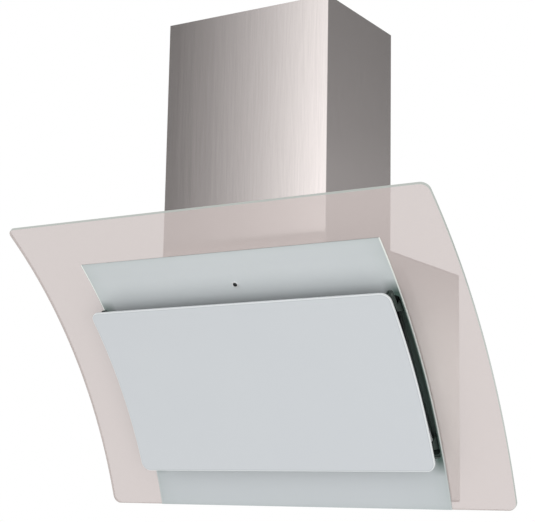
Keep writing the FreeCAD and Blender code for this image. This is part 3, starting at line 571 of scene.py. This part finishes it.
def ribbed_lens(name, finish):
    """A lens with prism ribs moulded across its lower face, inside a flat rim."""
    low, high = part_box(name)
    first, last = low[0] + lens_rim, high[0] - lens_rim
    count = 2 * round((last - first) / rib_width)
    edges = [first + (last - first) * index / count for index in range(count + 1)]
    across = [low[0], *edges, high[0]]
    grooves = range(2, count + 1, 2)
    inset = lens_rim + rib_depth
    along = ((low[1], 0), (low[1] + lens_rim, 0), (low[1] + inset, rib_depth),
             (high[1] - inset, rib_depth), (high[1] - lens_rim, 0), (high[1], 0))
    work = bmesh.new()
    lower, upper = [], []
    for y, depth in along:
        heights = [low[2] + (depth if column in grooves else 0) for column in range(len(across))]
        lower.append([work.verts.new((x, y, z)) for x, z in zip(across, heights)])
        upper.append([work.verts.new((x, y, high[2])) for x in across])
    for rows in (lower, upper):
        for near, far in zip(rows, rows[1:]):
            for column in range(len(across) - 1):
                work.faces.new((near[column], far[column], far[column + 1], near[column + 1]))
    rims = [rows[0] + [row[-1] for row in rows[1:-1]] + rows[-1][::-1]
            + [row[0] for row in rows[-2:0:-1]] for rows in (lower, upper)]
    walls = list(zip(*rims))
    for (foot, top), (next_foot, next_top) in zip(walls, walls[1:] + walls[:1]):
        work.faces.new((foot, next_foot, next_top, top))
    bmesh.ops.recalc_face_normals(work, faces=work.faces)
    stand_in(placed(name + "_ribbed", new_mesh(name, work, finish)), name)


def moulded_rubber():
    """Black rubber, dull and slightly dusty."""
    material = new_finish("moulded_rubber")
    dust = spots(material, 160)
    return surface(
        material,
        Base_Color=between(material, dust, seen(28, 28, 29), seen(44, 44, 44)),
        Roughness=varied(material, dust, 0.65, 0.85),
        Normal=relief(material, spots(material, 1200), depth=0.00006, strength=0.4),
    )


white_finish = moulded_plastic("white_plastic", white_tone, 0.45)
rubber_finish = moulded_rubber()
lens_finish = frosted_lens()
dress(white_finish, "left_lamp_housing", "right_lamp_housing")
ribbed_lens("left_lamp_lens", lens_finish)
ribbed_lens("right_lamp_lens", lens_finish)
dress(rubber_finish, "rubber_feet")

# ------------------------------------------------------------------ hinge and catches
# Dark steel arms inside the opening carry the front panel: two pins in plastic bushes at
# its top, and a magnet at each lower corner that holds it shut.

arm_tone = (44, 56, 52)
magnet_tone = (58, 68, 66)


def plated_steel():
    """Bright zinc plate, faintly yellow, with fine turning marks."""
    material = new_finish("plated_steel")
    marks = spots(material, 300, stretch=(1, 6, 6))
    return surface(
        material,
        Base_Color=between(material, marks, seen(176, 178, 178), seen(200, 200, 196)),
        Metallic=1.0,
        Roughness=varied(material, marks, 0.2, 0.34),
    )


plated_finish = plated_steel()
magnet_finish = powder_coat("magnet_coat", magnet_tone, 0.5)
arm_finish = powder_coat("arm_coat", arm_tone, 0.75)
dress(arm_finish, "right_hinge_arm", "left_hinge_arm", "catch_arms")
dress(plated_finish, "strike_plates")
dress(magnet_finish, "hinge_pins", "catch_magnets")
dress(white_finish, "hinge_bushes")

# ------------------------------------------------------------------ the front panel
# A 4 mm curved glass, painted pale blue-grey on its back and glued to a shallow steel tray.
# Its rim is polished to a pencil edge. It swings up on the tray's two ears for cleaning.

panel_outline = (0.325, 0.088, 0.4582, 0.018)     # half width, ends along the curve, corner
panel_colour = (206, 210, 214)
panel_cloud = (203, 207, 212)
# The bare rim is lighter glass with a painted highlight. The darker line just inside it is partly
# the edge of the paint and partly painted shade of the polished edge.
rim_highlight_colour = (226, 230, 232)
paint_inset = 0.0018              # the paint stops this far inside the rim
paint_blend = 0.0003
paint_edge_shade_colour = (182, 188, 192)
paint_edge_shade_width = 0.0022
paint_edge_shade_cover = 0.8


def painted_glass():
    """Glass painted on its back, under a hard clear gloss. Its rim is bare and carries a painted
    highlight, and the edge of the paint shows as a darker line, partly painted shade."""
    material = new_finish("painted_glass")
    inset = inside_outline(material, *panel_outline)
    clouds = spots(material, 5)
    wipes = spots(material, 14, stretch=(1, 0.3, 0.3))
    paint = between(material, clouds, seen(*panel_colour), seen(*panel_cloud))
    # A darker line where the paint ends: partly the paint's own edge, partly painted shade.
    line = ranged(material, inset, paint_inset, paint_inset + paint_edge_shade_width,
                  paint_edge_shade_cover, 0.0)
    paint = between(material, line, paint, seen(*paint_edge_shade_colour))
    painted = ranged(material, inset, paint_inset - paint_blend, paint_inset, 0.0, 1.0)
    face = sum_step(material, "SUBTRACT", 1.0, rim_share(material))
    painted = sum_step(material, "MINIMUM", painted, face)
    return surface(
        material,
        Base_Color=between(material, painted, seen(*rim_highlight_colour), paint),
        Roughness=varied(material, wipes, 0.10, 0.16),
        IOR=1.5,
        Specular_IOR_Level=0.35,
    )


dress(painted_glass(), "front_panel_glass")
dress(arm_finish, "front_panel_tray", "panel_hinge_ears")

# ------------------------------------------------------------------ the grease filters
# Two cassettes of satin aluminium. Between two skins of expanded aluminium mesh lies a pad
# of knitted aluminium. Each hangs in the seat behind the opening, with a wire bail to pull.

cassette_tone = (200, 202, 203)
mesh_tone = (184, 186, 187)
pad_tone = (120, 122, 123)
wire_tone = (196, 196, 194)
cassette_edge = 0.0006
filter_middle = 0.2621            # along the curve
mesh_across = (0.0171, 0.2850)    # from the middle of the hood
mesh_up = (-0.14385, 0.14385)     # from the middle of the filter
mesh_out = (-0.012, -0.018)       # the two sheets, measured into the room
mesh_columns = 26
mesh_rows = 44
strand_width = 0.0018
strand_thickness = 0.0008
strand_tip = 0.0003               # how far slitting tips a strand


def satin_aluminium(name, tone, roughness):
    """Pressed aluminium, etched satin."""
    material = new_finish(name)
    fine = spots(material, 60, stretch=(2, 60, 60), detail=4.0)
    return surface(
        material,
        Base_Color=between(material, fine, seen(*lighter(tone, -16)), seen(*tone)),
        Metallic=1.0,
        Roughness=varied(material, fine, roughness - 0.05, roughness + 0.05),
        Normal=relief(material, fine, depth=0.00003, strength=0.3),
    )


def expanded_sheet(work, side, out):
    """Adds a sheet of expanded metal in the filter's own plane: diamond holes between strands
    that are tipped a little."""
    step_across = (mesh_across[1] - mesh_across[0]) / (2 * mesh_columns)
    step_up = (mesh_up[1] - mesh_up[0]) / (2 * mesh_rows)
    places = [(column, row) for column in range(2 * mesh_columns + 1)
              for row in range(2 * mesh_rows + 1)]
    crossings = {}
    for column, row in places:
        if (column + row) % 2 == 0:
            x = side * (mesh_across[0] + column * step_across)
            crossings[column, row] = work.verts.new((x, mesh_up[0] + row * step_up, out))
    diamonds = []
    for column, row in places:
        around = (column + side, row), (column, row + 1), (column - side, row), (column, row - 1)
        corners = [crossings[place] for place in around if place in crossings]
        if len(corners) > 2:
            diamonds.append(work.faces.new(corners))
    bmesh.ops.inset_individual(work, faces=diamonds, thickness=strand_width / 2,
                               use_even_offset=True)
    for diamond in diamonds:
        middle = diamond.calc_center_median().y
        for corner in diamond.verts:
            corner.co.z += strand_tip if corner.co.y > middle else -strand_tip
    bmesh.ops.delete(work, geom=diamonds, context="FACES")


def filter_mesh(name, side, finish):
    """The two mesh sheets of one cassette, laid in the filter's plane."""
    slope = lower_slope + filter_middle / glass_radius
    back, rise = math.cos(slope), math.sin(slope)
    middle = (0, axis_y + glass_radius * back, axis_z + glass_radius * rise)
    turn = Matrix(((1, 0, 0), (0, -rise, back), (0, -back, -rise))).transposed().to_4x4()
    work = bmesh.new()
    for out in mesh_out:
        expanded_sheet(work, side, out)
    bmesh.ops.transform(work, matrix=Matrix.Translation(middle) @ turn, verts=work.verts)
    piece = placed(name + "_expanded", new_mesh(name, work, finish))
    sheet = piece.modifiers.new("sheet", "SOLIDIFY")
    sheet.thickness = strand_thickness
    sheet.offset = 0
    stand_in(piece, name)


cassette_finish = satin_aluminium("satin_aluminium", cassette_tone, 0.38)
mesh_finish = satin_aluminium("mesh_aluminium", mesh_tone, 0.42)
pad_finish = satin_aluminium("pad_aluminium", pad_tone, 0.55)
wire_finish = ground_steel("wire_steel", wire_tone, 0.24, streaks_along="X")
for side, direction in (("right", 1), ("left", -1)):
    eased_copy(side + "_filter_frame", cassette_edge, cassette_finish)
    filter_mesh(side + "_filter_mesh", direction, mesh_finish)
    dress(pad_finish, side + "_filter_core")
    dress(wire_finish, side + "_filter_bail")

# ------------------------------------------------------------------ the blower
# A zinced box on the body's top plate holds a drum wheel in a scroll, turned by a motor on a
# three-armed mount inside the wheel, with its capacitor beside it.

motor_tone = (58, 60, 62)
head_area = 0.000035              # a screw's head is larger than this, and its other end smaller
head_radius = 0.0036
head_rounding = 0.0007
socket_radius = 0.0016
socket_depth = 0.0012


def press_sockets(work):
    """Presses a round socket into the head of every screw."""
    heads = [face for face in work.faces if face.calc_area() > head_area]
    bmesh.ops.inset_individual(work, faces=heads, thickness=head_radius - socket_radius)
    for floor in bmesh.ops.extrude_discrete_faces(work, faces=heads)["faces"]:
        bmesh.ops.translate(work, verts=floor.verts, vec=-socket_depth * floor.normal)


dress(zinc_finish, "blower_box", "scroll_housing", "blower_wheel")
dress(powder_coat("motor_coat", motor_tone, 0.45), "motor")
dress(white_finish, "capacitor")
dress(plated_finish, "motor_shaft", "motor_spider")
eased_copy("motor_screws", head_rounding, plated_finish, press_sockets)
eased_copy("box_screws", head_rounding, plated_finish, press_sockets)

# ------------------------------------------------------------------ collar, flaps and cable inlet
# A white moulded collar takes the duct. Two flaps on one pin close when the air stops. The
# mains lead goes in by a rubber gland in the box's roof.

dress(white_finish, "outlet_collar", "right_flap", "left_flap")
dress(plated_finish, "flap_pin")
eased_copy("collar_screws", head_rounding, plated_finish, press_sockets)
dress(rubber_finish, "cable_gland")

# ------------------------------------------------------------------ the chimney
# Two three-sided covers of ground stainless sheet, one sliding inside the other, folded on a
# press with a small outer radius. The inner one slides up to the ceiling and hooks on a
# zinced bracket there.

chimney_steel = (206, 199, 197)
fold_radius = 0.0011

chimney_finish = ground_steel("chimney_steel", chimney_steel, 0.15)
eased_copy("lower_chimney", fold_radius, chimney_finish)
eased_copy("upper_chimney", fold_radius, chimney_finish)
dress(zinc_finish, "ceiling_bracket")
eased_copy("chimney_screws", head_rounding, plated_finish, press_sockets)

# ------------------------------------------------------------------ the push key
# One short-stroke key in a satin ring above the front panel, with a plastic box behind it
# for its switch and its board.

black_tone = (34, 35, 37)
track_edge = (0.05, 0.08)         # how sharply a track's side stands out of the lacquer


def satin_chrome():
    """Satin chrome with its fine turned rings."""
    material = new_finish("satin_chrome")
    marks = spots(material, 900)
    return surface(
        material,
        Base_Color=seen(250, 251, 252),
        Metallic=0.35,
        Roughness=varied(material, marks, 0.22, 0.32),
    )


def lacquered_board():
    """Green lacquer over the copper tracks of a circuit board."""
    material = new_finish("lacquered_board")
    place = step(material, "TexCoord", "Object")
    gap = step(material, "TexVoronoi", "Distance", Vector=place, Scale=220)
    gap.node.feature = "DISTANCE_TO_EDGE"
    track = ranged(material, gap, *track_edge, 1.0, 0.0)
    return surface(
        material,
        Base_Color=between(material, track, seen(22, 72, 48), seen(64, 120, 76)),
        Roughness=ranged(material, track, 0.0, 1.0, 0.35, 0.28),
        Normal=relief(material, track, depth=0.00004, strength=0.5),
    )


dress(satin_chrome(), "key_bezel")
dress(moulded_plastic("black_plastic", black_tone, 0.5), "push_key", "control_box")
dress(lacquered_board(), "control_board")

# ------------------------------------------------------------------ the pale room
# A pale floor well below the hood, a white room beyond it and two soft lights. Three cards
# that only mirrors show give the ground steel its light and dark bands.

floor_height = -1.6
floor_width = 60.0
floor_colour = (246, 246, 244)
floor_glow = 0.7                  # how far the floor is white in the camera's eye
fill_light = 0.88
light_aim = (0, -0.2, 0.3)
light_size = 1.5


def seen_or_mirrored(material):
    """1 for what the camera sees, straight, in a mirror or through glass, and 0 for the rest."""
    path = material.node_tree.nodes.new("ShaderNodeLightPath")
    share = sum_step(material, "MAXIMUM", path.outputs["Is Camera Ray"],
                     path.outputs["Is Glossy Ray"])
    return sum_step(material, "MAXIMUM", share, path.outputs["Is Transmission Ray"])


def flat_card(name, material, middle, facing, width, height):
    """A flat card that faces a way, standing upright unless it faces up."""
    work = bmesh.new()
    bmesh.ops.create_grid(work, x_segments=1, y_segments=1, size=0.5)
    card = placed(name, new_mesh(name, work, material))
    card.rotation_mode = "QUATERNION"
    card.rotation_quaternion = Vector(facing).to_track_quat("Z", "Y")
    card.scale = (width, height, 1)
    card.location = middle
    return card


def graded_card(name, middle, facing, width, height, glow, across, upwards):
    """A card that only mirrors show. Its glow follows one line across, from the left as the hood
    sees it, and another up from its foot."""
    material = new_finish(name)
    tree = material.node_tree
    place = step(material, "TexCoord", "Generated")
    parts = step(material, "SeparateXYZ", "X", Vector=place)
    share = sum_step(material, "MULTIPLY", stops(material, parts, across),
                     stops(material, parts.node.outputs["Y"], upwards))
    strength = sum_step(material, "MULTIPLY", share, glow)
    light = step(material, "Emission", "Emission", Strength=strength)
    tree.links.new(light, tree.nodes["Material Output"].inputs["Surface"])
    card = flat_card(name, material, middle, facing, width, height)
    card.visible_camera = False
    card.visible_diffuse = False
    card.visible_shadow = False
    card.visible_transmission = False


def add_floor():
    """Pale floor: its own shade where the hood darkens it, and near white in the camera's eye."""
    material = new_finish("pale_floor")
    tree = material.node_tree
    surface(material, Base_Color=seen(*floor_colour), Roughness=0.9)
    glow = step(material, "Emission", "Emission", Strength=1.0)
    share = sum_step(material, "MULTIPLY", seen_or_mirrored(material), floor_glow)
    mixed = tree.nodes.new("ShaderNodeMixShader")
    tree.links.new(share, mixed.inputs[0])
    tree.links.new(tree.nodes["Principled BSDF"].outputs[0], mixed.inputs[1])
    tree.links.new(glow, mixed.inputs[2])
    tree.links.new(mixed.outputs[0], tree.nodes["Material Output"].inputs["Surface"])
    flat_card("floor", material, (0, 0, floor_height), (0, 0, 1), floor_width, floor_width)


def add_room():
    """White room: full white where it is seen or mirrored, and a soft fill for the rest."""
    room = bpy.data.worlds.new("white_room")
    room.use_nodes = True
    bpy.context.scene.world = room
    backdrop = room.node_tree.nodes["Background"]
    backdrop.inputs["Color"].default_value = (1, 1, 1, 1)
    strength = ranged(room, seen_or_mirrored(room), 0.0, 1.0, fill_light, 1.0)
    room.node_tree.links.new(strength, backdrop.inputs["Strength"])


def add_soft_light(name, place, power):
    """A square soft light that points at the hood."""
    lamp = bpy.data.lights.new(name, "AREA")
    lamp.size = light_size
    lamp.energy = power
    holder = placed(name, lamp)
    holder.location = place
    holder.rotation_mode = "QUATERNION"
    holder.rotation_quaternion = (Vector(place) - Vector(light_aim)).to_track_quat("Z", "Y")
    holder.visible_glossy = False


add_floor()
add_room()
add_soft_light("side_light", place=(2.4, -2.6, -0.5), power=18)
add_soft_light("front_light", place=(-2.0, -2.4, 0.2), power=5)
graded_card(
    "front_card", middle=(-2.0, -2.6, 1.2), facing=(0.60, 0.80, 0),
    width=2.4, height=3.6, glow=2.0,
    across=((0.0, 1.0), (0.18, 1.0), (0.21, 0.80), (0.27, 0.51), (0.34, 0.34), (0.40, 0.22),
            (0.46, 0.12), (1.0, 0.1)),
    upwards=((0.0, 1.0), (0.4, 1.0), (0.55, 0.95), (0.8, 0.82), (1.0, 0.8)),
)
graded_card(
    "body_card", middle=(2.2, 3.2, 0.2), facing=(-0.5, -0.87, 0),
    width=3.0, height=2.0, glow=2.4,
    across=((0.0, 0.3), (0.34, 0.34), (0.42, 0.72), (0.49, 1.0), (1.0, 1.0)),
    upwards=((0.0, 0.4), (0.42, 0.5), (0.46, 0.62), (0.53, 0.95), (0.6, 1.0), (0.668, 1.0),
             (0.738, 0.85), (0.831, 0.5), (0.913, 0.12), (0.95, 0.05), (1.0, 0.05)),
)
graded_card(
    "chimney_card", middle=(2.2, 3.2, 2.2), facing=(-0.5, -0.87, 0),
    width=3.0, height=2.0, glow=2.0,
    across=((0.0, 0.6), (0.36, 0.8), (0.48, 1.0), (1.0, 1.0)),
    upwards=((0.0, 0.1), (0.024, 0.12), (0.08, 0.23), (0.3, 0.20), (0.6, 0.16), (1.0, 0.14)),
)

# ------------------------------------------------------------------ the camera
# It stands to the right of the hood, a little below it, and looks up at it with a long lens.

photo_width = 535
camera_focus = 1379.851           # in pixels of the photograph
film_width = 36                   # in millimetres, like the lens
camera_place = (1.376446, -2.387252, -0.008199)
camera_turn = math.radians(31.786)
camera_rise = math.radians(9.859)
camera_roll = math.radians(1.078)

forward = Vector((-math.sin(camera_turn) * math.cos(camera_rise),
                  math.cos(camera_turn) * math.cos(camera_rise),
                  math.sin(camera_rise)))
level = Vector((math.cos(camera_turn), math.sin(camera_turn), 0))
upright = level.cross(forward)
camera_right = level * math.cos(camera_roll) + upright * math.sin(camera_roll)
camera_up = upright * math.cos(camera_roll) - level * math.sin(camera_roll)

lens = bpy.data.cameras.new("camera")
lens.sensor_width = film_width
lens.lens = film_width * camera_focus / photo_width
camera = placed("camera", lens)
camera.matrix_world = Matrix.Translation(camera_place) @ Matrix(
    (camera_right, camera_up, -forward)).transposed().to_4x4()
bpy.context.scene.camera = camera
bpy.context.scene.view_settings.view_transform = "Standard"

bpy.context.view_layer.update()
